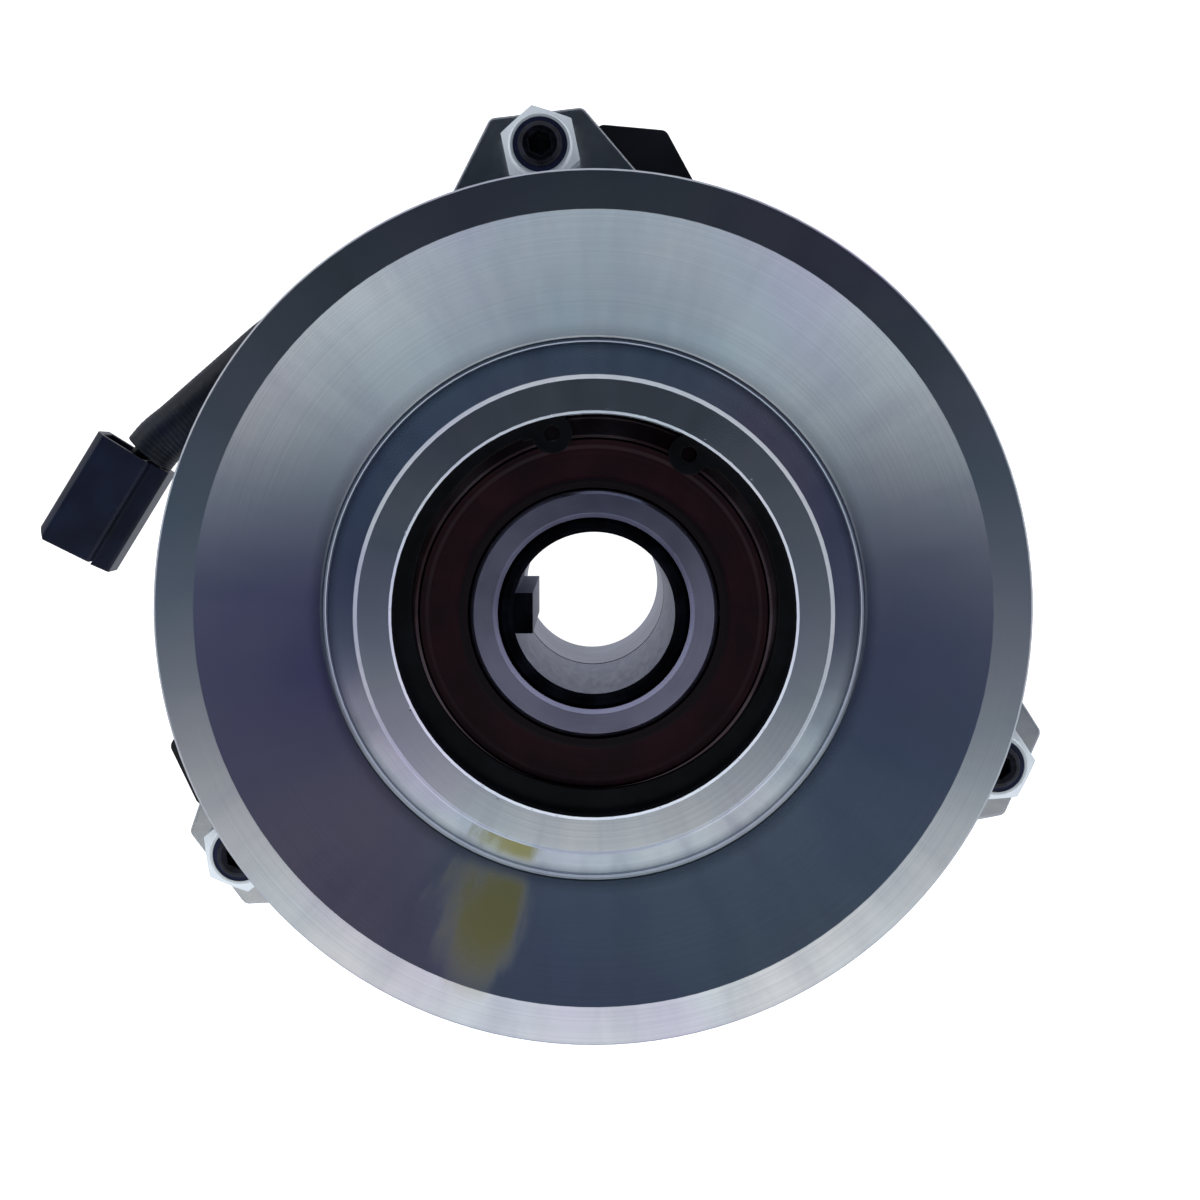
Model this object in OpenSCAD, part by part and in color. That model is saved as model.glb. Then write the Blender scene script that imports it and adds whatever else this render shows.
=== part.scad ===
/* [Crankshaft bore] */
// Diameter of the bore that takes the crankshaft
bore_d = 25.4; // [22:0.1:26]
// Diameter of the hub where both bearings are pressed on
seat_d = 30; // [29:0.5:32]
// Width of the integral key
key_w = 6.35; // [4:0.05:8]
// Height of the key above the wall of the bore
key_rise = 3.15; // [2:0.05:4]
// Length of the keyed sleeve, from the pulley end of the bore
key_len = 46.5; // [42:0.5:50]
// Length of the relief groove in the bore before the key starts
relief_groove = 1.2; // [1:0.1:2]
// Depth of that groove
relief_depth = 0.3; // [0.3:0.1:0.8]
// Wall between the seat and the shoulder that the pulley bearing stands on
sleeve_step = 2.5; // [2:0.1:3]
// Depth of the hub end below the face of the pulley bearing
hub_drop = 1; // [0:0.1:2]
// Chamfer at the ends of the hub
hub_chamfer = 0.6; // [0.3:0.1:1]
// Thickness of the retaining ring behind the field bearing
clip_t = 1.5; // [1:0.1:2]
// Depth of that ring's groove
clip_groove = 0.8; // [0.5:0.1:1]
// Width of that ring
clip_w = 2.9; // [2.4:0.1:3.2]
// Direction of the ring's gap
clip_turn = 285; // [0:5:360]
// Angle between the ring's two plier holes
clip_spread = 28; // [24:1:32]

/* [Pulley] */
// Outer diameter of the pulley
pulley_d = 137; // [134:0.5:146]
// Width of the V groove at the rim
groove_w = 17; // [15:0.1:19]
// Included angle of the V groove
groove_angle = 35; // [32:0.5:38]
// Depth of the V groove below the rim
groove_depth = 16; // [14:0.5:17]
// Thickness of each cheek at the rim
cheek_t = 2.3; // [2:0.1:3]
// Width of the flat ring on each cheek at the rim
rim_w = 6.2; // [4:0.1:7]
// Bevel on the outer edges of the rim
rim_bevel = 0.3; // [0.2:0.1:0.6]
// Depth of the conical dish in each cheek
dish_depth = 6.3; // [5:0.1:7]
// Diameter of the boss face round the bearing
boss_d = 73.8; // [70:0.2:76]
// Diameter of the boss where it meets the dish
boss_root_d = 85.3; // [82:0.1:88]
// Radius of the fillet between dish and boss
dish_round = 1; // [0.5:0.1:2]
// Height of the boss face above the rim face
boss_rise = 5.9; // [4:0.1:7]
// Bevel on the outer edge of the boss face
boss_bevel = 0.7; // [0.4:0.1:1.2]
// Diameter of the flange that carries the leaf springs
flange_d = 88; // [86:0.5:92]
// Clearance hole for the sleeve through the back of the pulley
pulley_eye_d = 41; // [39:0.5:44]
// Width of the shoulder behind the outer ring of the bearing
shoulder_w = 3; // [2:0.1:3.5]
// Thickness of that shoulder
shoulder_t = 1.5; // [1:0.1:2]

/* [Pulley bearing] */
// Outer diameter of the pulley bearing
pb_od = 62; // [61:0.5:63]
// Width of the pulley bearing
pb_w = 16; // [15:0.5:17]
// Thickness of the inner ring beside the ball track
pb_inner_t = 4.4; // [4:0.1:4.8]
// Thickness of the outer ring beside the ball track
pb_outer_t = 3.9; // [3.5:0.1:4.3]
// Diameter of the balls in the pulley bearing
pb_ball_d = 9.5; // [9:0.1:9.8]
// Number of balls in the pulley bearing
pb_balls = 9; // [7:1:10]

/* [Field bearing] */
// Outer diameter of the field bearing
fb_od = 55; // [54:0.5:56]
// Width of the field bearing
fb_w = 13; // [12:0.5:14]
// Thickness of the inner ring beside the ball track
fb_inner_t = 3.3; // [3:0.1:3.6]
// Thickness of the outer ring beside the ball track
fb_outer_t = 3; // [2.7:0.1:3.3]
// Diameter of the balls in the field bearing
fb_ball_d = 7.1; // [6.8:0.1:7.4]
// Number of balls in the field bearing
fb_balls = 11; // [9:1:12]

/* [Bearing details] */
// Gap between the balls and their tracks and pockets
ball_gap = 0.15; // [0.1:0.05:0.2]
// Bevel on the corners of the bearing rings
ring_bevel = 0.7; // [0.4:0.1:1]
// Half width of the ball cage, measured from the pitch circle
cage_half = 1.5; // [1.2:0.1:1.8]
// Height of the ball cages
cage_h = 7; // [6:0.5:8]
// Thickness of the rubber seals
seal_t = 1.2; // [0.8:0.1:1.6]
// Depth of the seals below the faces of the rings
seal_drop = 0.35; // [0.2:0.05:0.5]
// Gap between a seal's lip and the inner ring
lip_gap = 0.25; // [0.15:0.05:0.4]

/* [Snap ring] */
// Thickness of the internal snap ring
snap_t = 2; // [1.6:0.1:2.4]
// Depth of the snap ring's groove
snap_groove = 1.5; // [1.2:0.1:1.8]
// Depth of the snap ring below the boss face
snap_drop = 3.7; // [2:0.1:5]
// Width of the snap ring opposite its gap
snap_w = 5.2; // [4.6:0.1:5.6]
// How much narrower the ring is beside its gap
snap_taper = 2.2; // [1.6:0.1:2.6]
// Direction of the middle of the gap
snap_turn = 81.2; // [0:0.1:360]
// Angle between the two plier holes
snap_spread = 43.6; // [30:0.2:50]
// Distance of the plier holes from the axis
snap_eye_r = 28.7; // [28.4:0.1:29]
// Diameter of the plier holes
snap_eye_d = 2.5; // [2:0.1:3]
// Radius of the lugs round the plier holes
snap_lug_r = 3.1; // [2.8:0.1:3.4]

/* [Armature and rotor] */
// Thickness of the rotor's friction face
rotor_t = 7; // [6:0.5:8]
// Depth of the rotor's outer skirt below its friction face
rotor_skirt = 18; // [14:0.5:20]
// Thickness of the rotor's outer skirt
rotor_skirt_t = 3.3; // [3:0.1:3.4]
// Gap between the field shell and that skirt
skirt_gap = 0.7; // [0.6:0.1:1]
// Diameter of the hub's spigot in the rotor
spigot_d = 41; // [39:0.5:43]
// Depth of the spigot's end below the friction face
spigot_drop = 0.5; // [0.3:0.1:1]
// Height of the hub's neck above the field bearing
hub_step = 3; // [2:0.5:4]
// Gap between the field shell and the rotor
rotor_gap = 2; // [1:0.5:3]
// Gap between the rotor and the armature when the clutch is off
air_gap = 0.45; // [0.3:0.05:0.6]
// How far the armature's edge lies inside the rotor's
armature_inset = 1.5; // [1:0.1:2.5]
// Diameter of the hole through the armature
armature_eye_d = 48; // [46:0.5:50]
// Thickness of the armature
armature_t = 4.5; // [4:0.1:5]
// Bevel on the edges of the armature and the rotor
edge_bevel = 0.6; // [0.4:0.1:1]
// Width of the arc slots in the rotor and the armature
slot_w = 3.4; // [2.5:0.1:4]
// Bridge between the ends of two arc slots
slot_bridge = 7; // [5:0.5:9]
// Number of arc slots in a ring
slot_n = 6; // [3:1:8]
// Diameter of the inner ring of slots in the rotor
slot_inner_d = 86; // [84:0.5:88]
// Distance from the rotor's edge to the middle of the outer ring of slots
slot_outer_inset = 9; // [8:0.5:10]

/* [Leaf springs] */
// Thickness of the leaf springs
leaf_t = 0.8; // [0.5:0.1:1]
// Width of the leaf springs
leaf_w = 11; // [9:0.5:12]
// Distance of the rivets from the axis
rivet_r = 36; // [35.5:0.1:36.5]
// Diameter of the rivets' shanks
rivet_d = 5; // [4:0.1:6]
// Diameter of the rivets' heads
rivet_head_d = 9; // [8:0.1:9.5]
// Height of the rivets' heads
rivet_head_t = 2; // [1.5:0.1:2.4]
// Depth of the pulley's rivets in its flange
rivet_depth = 8; // [6:0.5:9]
// How far the armature's rivets sit below its friction face
rivet_sink = 0.3; // [0.2:0.1:0.5]
// Clearance round and over a rivet's head
rivet_room = 1.2; // [0.8:0.1:1.5]

/* [Field] */
// Thickness of the mounting plate
plate_t = 3; // [2.5:0.1:3.5]
// How far the mounting plate reaches beyond the field shell
plate_rim = 3; // [2:0.1:4.5]
// Lip of the mounting plate over the outer ring of the bearing
plate_lip = 2.5; // [1.5:0.1:2.8]
// Rise of the ears above the mounting plate
ear_rise = 7; // [5:0.5:8]
// Outer diameter of the field shell
shell_d = 117; // [116:0.5:117.4]
// Height of the field shell above the mounting plate
shell_h = 32; // [30:0.5:32.5]
// Thickness of the outer wall of the shell
shell_wall = 3.5; // [3:0.1:4]
// Thickness of the floor of the shell
shell_floor = 4; // [3:0.1:5]
// Thickness of the inner pole round the bearing
pole_t = 6; // [5:0.1:7]
// Width of the shoulder above the field bearing
pole_step = 2; // [1.5:0.1:2.4]
// Radial gap between the hub's flange and the inner pole
pole_gap = 0.7; // [0.5:0.05:0.9]
// Thickness of the walls of the coil former
former_t = 1.5; // [1:0.1:2]
// Height of the coil former
former_h = 24; // [20:0.5:26]
// Resin between the coil former and the outer wall
resin_w = 1.5; // [1:0.1:2]
// Depth of the resin below the rim of the shell
resin_drop = 1; // [0.5:0.1:2]

/* [Brake] */
// Thickness of the brake plate
brake_t = 2.5; // [2:0.1:3]
// Gap between the rotor and the brake plate's drum
drum_clear = 1.5; // [1:0.1:2.5]
// Diameter of the hole in the top of the drum
drum_eye_d = 98; // [94:0.5:102]
// Radius at the top edge of the drum
drum_round = 4; // [3:0.5:5]
// Inner radius at the foot of the drum
foot_round = 1.2; // [0.8:0.1:1.5]
// Width of the flange at the foot of the drum
drum_flange = 4; // [3:0.5:6]
// Thickness of the brake lining
lining_t = 2; // [1.5:0.1:2.5]
// Width of the brake lining
lining_w = 9.5; // [8:0.5:10]
// Distance of the lining's outer edge from the edge of the armature
lining_inset = 0.5; // [0.3:0.1:1]
// Angle that each of the three pieces of lining covers
lining_sweep = 100; // [60:5:110]
// Running gap between the armature and the lining
lining_gap = 0.05; // [0.05:0.05:0.2]
// Gap between the drum and the back of the pulley
drum_gap = 4.1; // [3:0.1:6]
// Width of the three feeler windows
window_w = 17; // [12:0.5:20]
// Height of the feeler windows
window_h = 6.5; // [5:0.5:8]

/* [Brake studs] */
// Number of brake studs, and of rivets of each kind
stud_n = 3; // [3:1:4]
// Distance from the drum's wall to the middle of the studs
stud_gap = 14.1; // [13:0.1:16]
// Direction of the first stud
stud_turn = 96.7; // [0:0.1:360]
// Diameter of the studs
stud_d = 8; // [7:0.1:8.4]
// How far a stud stands above its nut
stud_proud = 1.5; // [0.5:0.1:3]
// Width across the flats of the hex socket in a stud
socket_af = 4; // [3:0.1:4.5]
// Depth of the hex socket
socket_depth = 5; // [3:0.5:6]
// Diameter of the riveted head under a stud
stud_head_d = 12; // [11:0.1:13]
// Height of that head
stud_head_t = 3; // [2:0.1:4]
// Free space between the two rows of ears, filled by the springs
spring_h = 8; // [7:0.5:10]
// Outer diameter of the brake springs
spring_d = 12.4; // [11.8:0.1:13]
// Diameter of the spring wire
wire_d = 1.3; // [1.1:0.1:1.4]
// Width across the flats of the lock nuts
nut_af = 13; // [12.5:0.1:13.5]
// Height of the hexagon of a lock nut
nut_h = 6.2; // [5.5:0.1:7]
// Height of the round collar on a lock nut
collar_h = 1.8; // [1.2:0.1:2.5]
// Diameter of that collar
collar_d = 11.6; // [11:0.1:12]
// Width of the plastic insert in the collar
insert_w = 0.9; // [0.5:0.1:1.1]

/* [Ears] */
// How far the brake plate's ears reach beyond the middle of their studs
ear_beyond = 6.9; // [6.5:0.1:9]
// Width of an ear at its outer edge
ear_tip_w = 17; // [14:0.1:18]
// Angle of an ear's flanks away from its middle line
ear_flare = 34; // [28:1:38]
// Radius of an ear's corners
ear_round = 1.6; // [1:0.1:2.5]
// How far the mounting plate's ears reach beyond the middle of their studs
plate_ear_beyond = 5.9; // [5.5:0.1:7]
// Width of the mounting plate's ears
plate_ear_w = 14; // [12:0.5:15]
// How far the torque tabs reach beyond the circle of the studs
tab_beyond = 5.8; // [5:0.1:7]
// Width of the torque tab at its outer edge
tab_w = 12.4; // [10:0.1:14]
// Angle from a stud to the middle of its torque tab
tab_turn = 11.8; // [10:0.1:13]

/* [Lead] */
// Diameter of the sleeve over the wires
lead_d = 10; // [8:0.5:10]
// Diameter of each insulated wire
wire_od = 2.6; // [2:0.1:3]
// Distance between the two wires
wire_gap = 3.4; // [3.2:0.1:4]
// Width of the connector housing
plug_w = 15.2; // [14.8:0.1:17]
// Length of the connector housing
plug_len = 23; // [20:0.5:25]
// Height of the connector housing
plug_h = 10.5; // [10:0.1:12]
// Width of the lower part along one side of the connector
plug_side_w = 3.7; // [3.5:0.1:5]
// Height of that lower part
plug_side_h = 7.6; // [6:0.1:9]
// Radius of the connector's long top edge
plug_round = 2.2; // [1:0.1:3]
// Chamfer at one front corner of the connector
plug_corner = 1.9; // [1:0.1:2.5]
// How much shorter the connector is beside its lower part
plug_skew = 0.9; // [0:0.1:1.2]
// Thickness of the connector's walls
plug_wall = 1.1; // [0.8:0.1:1.4]
// Depth of the hollow that the wires run into
plug_hollow = 6; // [4:0.5:8]
// Length of each terminal
pin_len = 8; // [6:0.5:9]
// Width of each terminal
pin_w = 2.8; // [2:0.1:3.2]
// Thickness of each terminal
pin_t = 1.8; // [1:0.1:2.2]
// Distance between the two terminals
pin_pitch = 5.6; // [5:0.1:6]
// Width of the strain relief's root in the shell
relief_w = 10; // [8:0.5:11]
// Height of that root
relief_h = 6; // [5:0.5:7]
// Length of the strain relief's nozzle
relief_len = 12; // [9:0.5:13]
// Wall of the nozzle round the sleeve
relief_wall = 1; // [0.8:0.1:1.5]
// Distance from the field shell to the start of the sleeve
lead_out = 8.6; // [8:0.1:9]

/* [Hidden] */

$fn = 96;
cut = 1;
arc_steps = 5;
pin_z = 3.4;

bore_r = bore_d / 2;
seat_r = seat_d / 2;
sleeve_r = seat_r + sleeve_step;

// Stack of heights, from the back of the mounting plate to the boss face
fb_z = plate_t;
hub_shoulder_z = fb_z + fb_w;
shell_top_z = plate_t + shell_h;
rotor_under_z = shell_top_z + rotor_gap;
rotor_face_z = rotor_under_z + rotor_t;
armature_z = rotor_face_z + air_gap;
armature_top_z = armature_z + armature_t;
leaf_top_z = armature_top_z + leaf_t;
lining_z = armature_top_z + lining_gap;
drum_under_z = lining_z + lining_t;
drum_top_z = drum_under_z + brake_t;
rim_back_z = drum_top_z + drum_gap;
rim_face_z = rim_back_z + groove_w + 2 * cheek_t;
groove_mid_z = (rim_back_z + rim_face_z) / 2;
boss_z = rim_face_z + boss_rise;
snap_top_z = boss_z - snap_drop;
pb_top_z = snap_top_z - snap_t;
pb_z = pb_top_z - pb_w;
hub_top_z = pb_top_z - hub_drop;
key_z = hub_top_z - key_len;
key_start_z = key_z + relief_groove;

// Bearing proportions
pb_in_r = seat_r + pb_inner_t;
pb_out_r = pb_od / 2 - pb_outer_t;
pb_pitch = (pb_in_r + pb_out_r) / 2;
fb_in_r = seat_r + fb_inner_t;
fb_out_r = fb_od / 2 - fb_outer_t;
fb_pitch = (fb_in_r + fb_out_r) / 2;

// Field and rotor, from the bearing outwards
pole_r = fb_od / 2 + pole_t;
shell_in_r = shell_d / 2 - shell_wall;
pole_eye_r = fb_od / 2 - pole_step;
hub_flange_r = pole_eye_r - pole_gap;
shell_floor_z = plate_t + shell_floor;
former_top_z = shell_floor_z + former_h;
former_r = shell_in_r - resin_w;
plate_d = shell_d + 2 * plate_rim;
rotor_d = shell_d + 2 * (skirt_gap + rotor_skirt_t);
armature_d = rotor_d - 2 * armature_inset;
slot_outer_d = rotor_d - 2 * slot_outer_inset;
slot_mid_d = (slot_inner_d + slot_outer_d) / 2;

// Brake plate, ears and studs
drum_in_r = rotor_d / 2 + drum_clear;
drum_r = drum_in_r + brake_t;
stud_r = drum_r + stud_gap;
ear_reach = stud_r + ear_beyond;
plate_ear_reach = stud_r + plate_ear_beyond;
tab_reach = stud_r + tab_beyond;
ear_z = ear_rise + plate_t;
brake_ear_z = ear_z + spring_h;
nut_z = brake_ear_z + brake_t;
collar_z = nut_z + nut_h;
stud_top_z = collar_z + collar_h + stud_proud;
nut_turns = [42, 4, 38, 20];

// Lead, as chosen points along its middle from where it leaves the field
lead_az = 117.5;
lead_start = (shell_d / 2 + lead_out) * [cos(lead_az), sin(lead_az)];
lead_path = [for (p = [[0, 0, 9], [-5.5, -1.9, 9], [-11, -3.7, 8.4], [-17, -6.1, 7.4], [-23.5, -9.2, 6.3],
    [-30, -13.5, 5.4], [-36, -18.6, 5.1], [-42, -23.8, 5.1], [-48, -29, 5.1], [-51.6, -31.9, 5.1],
    [-54, -34.6, 5.1]]) [lead_start.x + p.x, lead_start.y + p.y, p.z]];
wire_path = [for (p = [[-54, -34.6, 5.1], [-55.04, -35.77, 5.1], [-55.9, -37.3, 4.8], [-56.9, -39.1, 4.6],
    [-57.6, -40.3, 4.6]]) [lead_start.x + p.x, lead_start.y + p.y, p.z]];
plug_pos = lead_start + [-62.5, -44];
plug_turn = 238;
relief_turn = atan2(lead_path[1].y - lead_path[0].y, lead_path[1].x - lead_path[0].x);
relief_az = 109.5;

// Points of an arc that rounds corner b between a and c
function unit(v) = v / norm(v);
function corner(a, b, c, r) =
    let (u = unit(a - b), v = unit(c - b), half = acos(u * v) / 2)
    let (mid = b + unit(u + v) * r / sin(half), reach = r / tan(half))
    let (p = b + u * reach - mid, q = b + v * reach - mid)
    let (start = atan2(p.y, p.x), sweep = (atan2(q.y, q.x) - start + 540) % 360 - 180)
    [for (i = [0 : arc_steps]) mid + r * [cos(start + sweep * i / arc_steps), sin(start + sweep * i / arc_steps)]];

// An outline given as [x, y, corner radius], with its corners rounded
function rounded(pts) = let (n = len(pts))
    [for (i = [0 : n - 1]) let (p = pts[i], a = pts[(i + n - 1) % n], c = pts[(i + 1) % n])
        each p.z == 0 ? [[p.x, p.y]] : corner([a.x, a.y], [p.x, p.y], [c.x, c.y], p.z)];

// A tube swept along a list of points or beside it, closed at both ends
module tube(route, r, sides, offset = 0) {
    last = len(route) - 1;
    path = [for (i = [0 : last])
        let (t = unit(route[min(i + 1, last)] - route[max(i - 1, 0)]))
        route[i] + offset * unit(cross([0, 0, 1], t))];
    points = [for (i = [0 : last])
        let (t = unit(path[min(i + 1, last)] - path[max(i - 1, 0)]))
        let (side = unit(cross([0, 0, 1], t)), up = cross(t, side))
        for (j = [0 : sides - 1])
            path[i] + r * (cos(360 * j / sides) * side + sin(360 * j / sides) * up)];
    faces = concat(
        [[for (j = [0 : sides - 1]) j]],
        [for (i = [0 : last - 1], j = [0 : sides - 1])
            let (k = (j + 1) % sides)
            [i * sides + j, (i + 1) * sides + j, (i + 1) * sides + k]],
        [for (i = [0 : last - 1], j = [0 : sides - 1])
            let (k = (j + 1) % sides)
            [i * sides + j, (i + 1) * sides + k, i * sides + k]],
        [[for (j = [sides - 1 : -1 : 0]) last * sides + j]]);
    polyhedron(points, faces);
}

module at_studs() {
    for (i = [0 : stud_n - 1])
        rotate([0, 0, stud_turn - i * 360 / stud_n])
            children();
}

module on_ring(n, r, turn = 0) {
    for (i = [0 : n - 1])
        rotate([0, 0, turn + i * 360 / n])
            translate([r, 0, 0])
                children();
}

// Arc slots, spread evenly on a circle
module arc_slots(r, z, h, turn) {
    bridge = 2 * asin(slot_bridge / 2 / r);
    for (i = [0 : slot_n - 1])
        rotate([0, 0, turn + bridge / 2 + i * 360 / slot_n])
            rotate_extrude(angle = 360 / slot_n - bridge)
                translate([r - slot_w / 2, z])
                    square([slot_w, h]);
}

// An ear's flat outline, along +X from the foot radius to its outer edge
module ear_outline(foot, reach, tip_w) {
    half = tip_w / 2;
    spread = half + (reach - foot) * tan(ear_flare);
    polygon(rounded([[foot, -spread, 0], [reach, -half, ear_round], [reach, half, ear_round], [foot, spread, 0]]));
}

// Bearing parts, drawn at z = 0
module bearing_ring(r_in, r_out, w, track_r, ball_d) {
    b = ring_bevel;
    rotate_extrude()
        difference() {
            polygon([[r_in + b, 0], [r_out - b, 0], [r_out, b], [r_out, w - b], [r_out - b, w],
                [r_in + b, w], [r_in, w - b], [r_in, b]]);
            translate([track_r, w / 2])
                circle(d = ball_d + 2 * ball_gap);
        }
}

module balls(n, pitch, d, w) {
    on_ring(n, pitch)
        translate([0, 0, w / 2])
            sphere(d = d);
}

module cage(n, pitch, d, w) {
    difference() {
        rotate_extrude()
            translate([pitch - cage_half, (w - cage_h) / 2])
                square([2 * cage_half, cage_h]);
        on_ring(n, pitch)
            translate([0, 0, w / 2])
                sphere(d = d + 2 * ball_gap);
    }
}

// A moulded seal with a raised outer bead and a thin lip
module seal(r_in, r_out) {
    lip = r_in + lip_gap;
    rotate_extrude()
        polygon([[lip, seal_t * 0.3], [lip + 0.8, 0], [r_out, 0], [r_out, seal_t],
            [r_out - 0.8, seal_t], [r_out - 1.4, seal_t * 0.75], [lip + 1.8, seal_t * 0.75],
            [lip + 1, seal_t], [lip, seal_t]]);
}

module mounting_plate() {
    bend = plate_d / 2 + 0.5;
    foot = bend - 8;
    half = plate_ear_w / 2;
    top_bend = plate_t * tan(22.5);
    color([0.1, 0.1, 0.11]) {
        difference() {
            union() {
                cylinder(d = plate_d, h = plate_t);
                at_studs()
                    intersection() {
                        linear_extrude(ear_z) {
                            polygon(rounded([[foot, -half - 9, 0], [plate_ear_reach, -half, ear_round],
                                [plate_ear_reach, half, ear_round], [foot, half + 1.5, 0]]));
                            rotate(-tab_turn)
                                ear_outline(foot + 4, tab_reach, tab_w);
                        }
                        rotate([90, 0, 0])
                            linear_extrude(plate_d, center = true)
                                polygon([[foot, 0], [bend, 0], [bend + ear_rise, ear_rise],
                                    [2 * bend, ear_rise], [2 * bend, ear_z],
                                    [bend + ear_rise - top_bend, ear_z], [bend - top_bend, plate_t],
                                    [foot, plate_t]]);
                    }
            }
            translate([0, 0, -cut])
                cylinder(r = fb_od / 2 - plate_lip, h = plate_t + 2 * cut);
            at_studs()
                translate([stud_r, 0, ear_rise - cut])
                    cylinder(d = stud_d, h = plate_t + 2 * cut);
        }
    }
}

module field_shell() {
    color([0.12, 0.12, 0.13])
        difference() {
            rotate_extrude()
                polygon([[fb_od / 2, plate_t], [shell_d / 2 - 2, plate_t], [shell_d / 2, plate_t + 2],
                    [shell_d / 2, shell_top_z - 0.5], [shell_d / 2 - 0.5, shell_top_z], [shell_in_r, shell_top_z],
                    [shell_in_r, shell_floor_z], [pole_r, shell_floor_z], [pole_r, shell_top_z],
                    [pole_eye_r, shell_top_z], [pole_eye_r, hub_shoulder_z], [fb_od / 2, hub_shoulder_z]]);
            rotate([0, 0, relief_az])
                translate([shell_in_r - cut, -relief_w / 2, shell_floor_z])
                    cube([shell_wall + 2 * cut, relief_w, relief_h]);
        }
}

module coil_former() {
    color([0.75, 0.72, 0.62])
        rotate_extrude()
            polygon([[pole_r, shell_floor_z], [former_r, shell_floor_z], [former_r, shell_floor_z + former_t],
                [pole_r + former_t, shell_floor_z + former_t], [pole_r + former_t, former_top_z - former_t],
                [former_r, former_top_z - former_t], [former_r, former_top_z], [pole_r, former_top_z]]);
}

module coil_winding() {
    color([0.72, 0.4, 0.2])
        rotate_extrude()
            translate([pole_r + former_t, shell_floor_z + former_t])
                square([former_r - pole_r - former_t, former_h - 2 * former_t]);
}

module coil_resin() {
    top = shell_top_z - resin_drop;
    color([0.2, 0.19, 0.18])
        rotate_extrude()
            polygon([[former_r, shell_floor_z], [shell_in_r, shell_floor_z], [shell_in_r, top],
                [pole_r, top], [pole_r, former_top_z], [former_r, former_top_z]]);
}

module field_bearing_outer_ring() {
    color([0.75, 0.76, 0.78])
        translate([0, 0, fb_z])
            bearing_ring(fb_out_r, fb_od / 2, fb_w, fb_pitch, fb_ball_d);
}

module field_bearing_seals() {
    color([0.1, 0.1, 0.1]) {
        translate([0, 0, fb_z + fb_w - seal_drop - seal_t])
            seal(fb_in_r, fb_out_r);
        translate([0, 0, fb_z + seal_drop + seal_t])
            mirror([0, 0, 1])
                seal(fb_in_r, fb_out_r);
    }
}

module field_bearing_inner_ring() {
    color([0.75, 0.76, 0.78])
        translate([0, 0, fb_z])
            bearing_ring(seat_r, fb_in_r, fb_w, fb_pitch, fb_ball_d);
}

module field_bearing_balls() {
    color([0.8, 0.8, 0.82])
        translate([0, 0, fb_z])
            balls(fb_balls, fb_pitch, fb_ball_d, fb_w);
}

module field_bearing_cage() {
    color([0.55, 0.5, 0.4])
        translate([0, 0, fb_z])
            cage(fb_balls, fb_pitch, fb_ball_d, fb_w);
}

module rotor_hub() {
    groove_r = seat_r - clip_groove;
    step_z = hub_shoulder_z + hub_step;
    color([0.45, 0.46, 0.48])
        rotate_extrude()
            polygon([[bore_r, 0], [seat_r - hub_chamfer, 0], [seat_r, hub_chamfer], [seat_r, plate_t - clip_t],
                [groove_r, plate_t - clip_t], [groove_r, plate_t], [seat_r, plate_t], [seat_r, hub_shoulder_z],
                [fb_in_r, hub_shoulder_z], [fb_in_r, step_z], [hub_flange_r, step_z + 2],
                [hub_flange_r, rotor_under_z], [spigot_d / 2, rotor_under_z],
                [spigot_d / 2, rotor_face_z - spigot_drop], [sleeve_r, rotor_face_z - spigot_drop],
                [sleeve_r, key_z], [bore_r, key_z]]);
}

// Open ring with two eyes beside its gap
module hub_retaining_ring() {
    lug_r = 2.2;
    eye_r = seat_r - clip_groove + clip_w - 0.2;
    ring_r = seat_r - clip_groove + clip_w;
    color([0.15, 0.15, 0.16])
        translate([0, 0, plate_t - clip_t])
            rotate([0, 0, clip_turn])
                difference() {
                    union() {
                        difference() {
                            cylinder(r = ring_r, h = clip_t);
                            translate([0, -lug_r, -cut])
                                cube([2 * seat_r, 2 * lug_r, clip_t + 2 * cut]);
                        }
                        for (side = [-1, 1])
                            rotate([0, 0, side * clip_spread / 2])
                                translate([eye_r, 0, 0])
                                    cylinder(r = lug_r, h = clip_t);
                    }
                    translate([0, 0, -cut])
                        cylinder(r = seat_r - clip_groove, h = clip_t + 2 * cut);
                    for (side = [-1, 1])
                        rotate([0, 0, side * clip_spread / 2])
                            translate([eye_r, 0, -cut])
                                cylinder(d = lug_r * 0.8, h = clip_t + 2 * cut);
                }
}

module rotor_disc() {
    r = rotor_d / 2;
    b = edge_bevel;
    color([0.5, 0.51, 0.53])
        difference() {
            rotate_extrude()
                polygon([[spigot_d / 2, rotor_under_z], [r - rotor_skirt_t, rotor_under_z],
                    [r - rotor_skirt_t, rotor_face_z - rotor_skirt], [r - b, rotor_face_z - rotor_skirt],
                    [r, rotor_face_z - rotor_skirt + b], [r, rotor_face_z - b], [r - b, rotor_face_z],
                    [spigot_d / 2, rotor_face_z]]);
            arc_slots(slot_inner_d / 2, rotor_under_z - cut, rotor_t + 2 * cut, 0);
            arc_slots(slot_outer_d / 2, rotor_under_z - cut, rotor_t + 2 * cut, 180 / slot_n);
        }
}

module keyed_sleeve() {
    c = hub_chamfer;
    color([0.22, 0.22, 0.24])
        union() {
            rotate_extrude()
                polygon([[bore_r + relief_depth, key_z], [sleeve_r, key_z], [sleeve_r, pb_z], [seat_r, pb_z],
                    [seat_r, hub_top_z - c], [seat_r - c, hub_top_z], [bore_r + c, hub_top_z],
                    [bore_r, hub_top_z - c], [bore_r, key_start_z], [bore_r + relief_depth, key_start_z]]);
            intersection() {
                translate([-(bore_r + cut), -key_w / 2, key_start_z])
                    cube([key_rise + cut, key_w, hub_top_z - c - key_start_z]);
                translate([0, 0, key_z])
                    cylinder(r = bore_r + cut / 2, h = key_len);
            }
        }
}

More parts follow.
